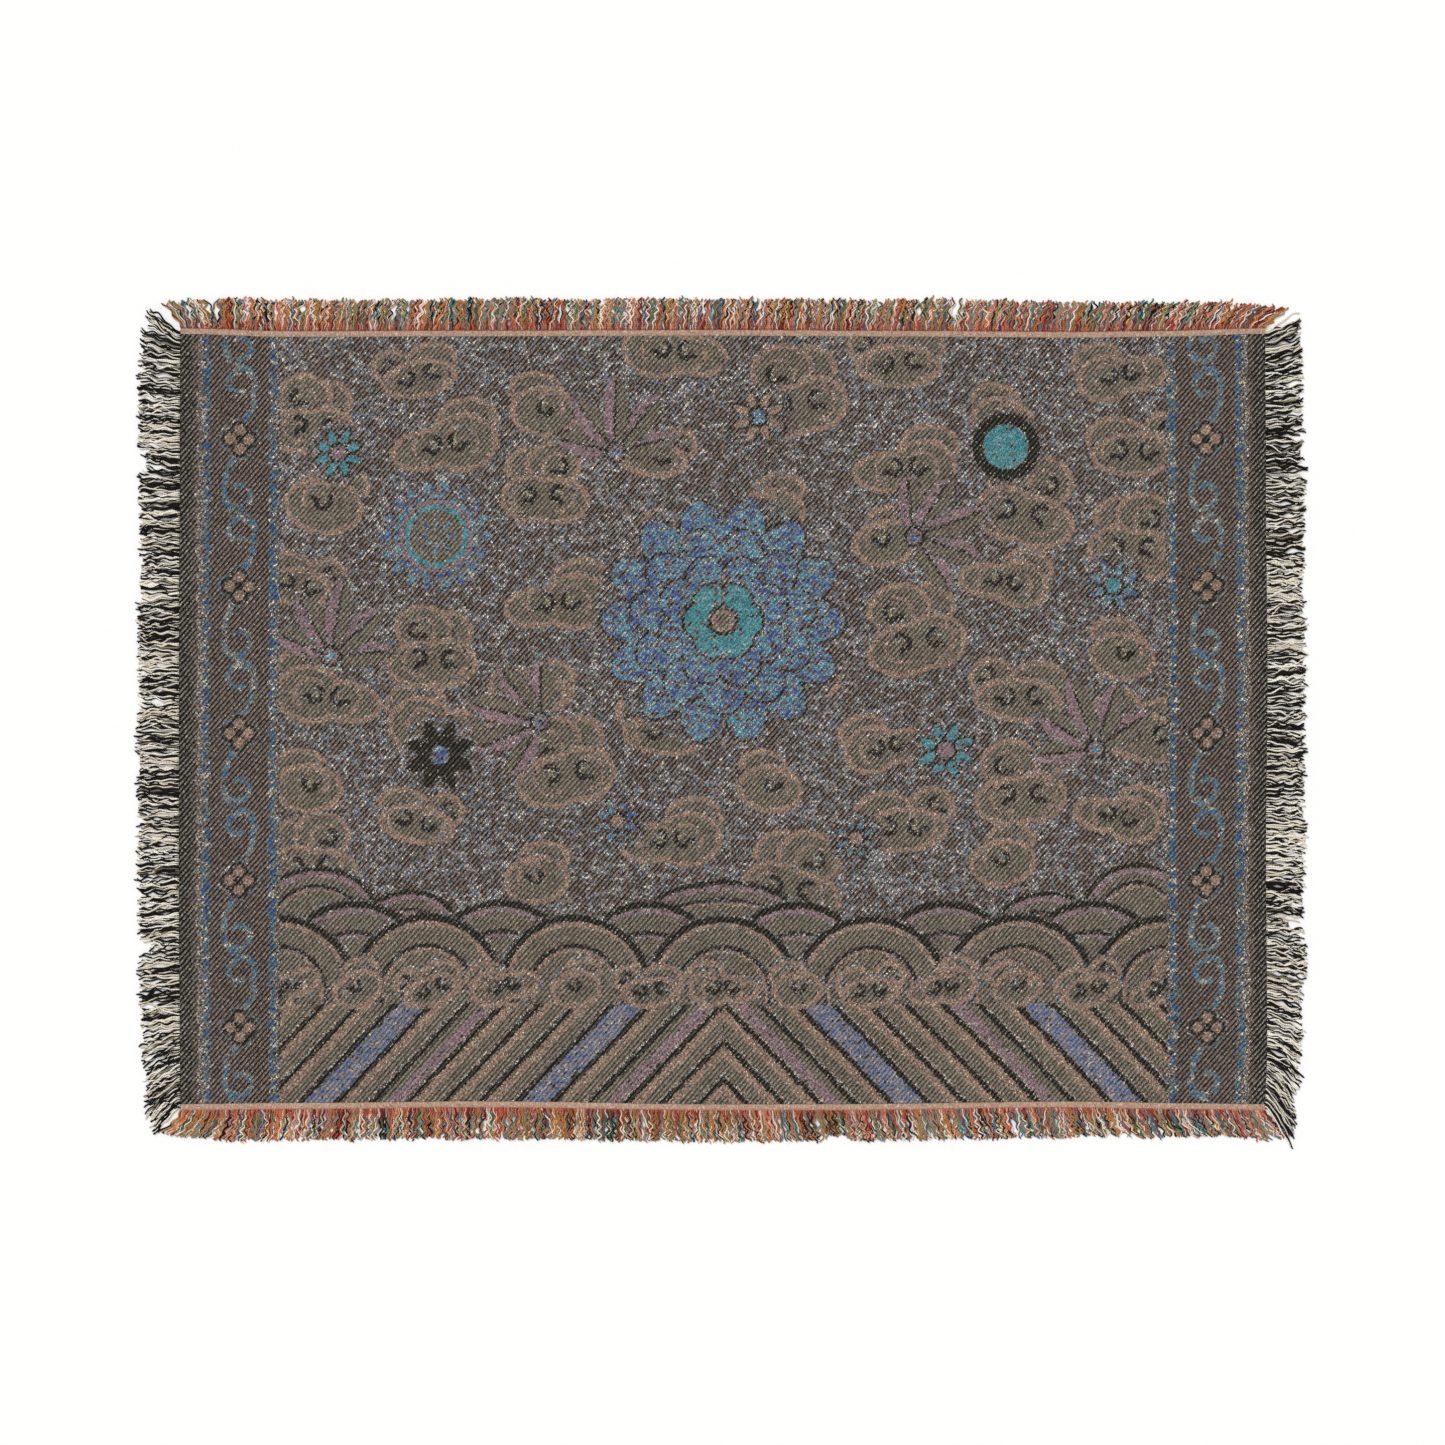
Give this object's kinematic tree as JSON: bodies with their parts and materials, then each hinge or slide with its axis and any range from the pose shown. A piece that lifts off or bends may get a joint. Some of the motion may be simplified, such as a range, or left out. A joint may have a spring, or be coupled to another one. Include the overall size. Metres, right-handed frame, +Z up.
{
  "type": "tapestry throw blanket",
  "caption": "Rectangular jacquard-woven cotton tapestry throw with cut fringe on all sides, laid flat and face up to spread over a bed, sofa or wall.",
  "frame": {"origin": "on the floor under the middle of the throw's outline, fringe included", "axes": "+Z up out of the patterned face, +X along the long side to the right of the picture, +Y along the short side towards its top"},
  "size_m": [1.3164, 0.9518, 0.0036],
  "materials": {
    "tapestry_weave": "matt jacquard twill of dark brown, taupe, blue and teal cotton",
    "warp_fringe": "matt cut cotton yarn in many colours over a tan woven band",
    "weft_fringe": "matt cut cotton yarn, black and cream"
  },
  "bodies": {
    "root": {"woven_field": "tapestry_weave", "fringe_top": "warp_fringe", "fringe_bottom": "warp_fringe", "fringe_left": "weft_fringe", "fringe_right": "weft_fringe"}
  },
  "joints": []
}
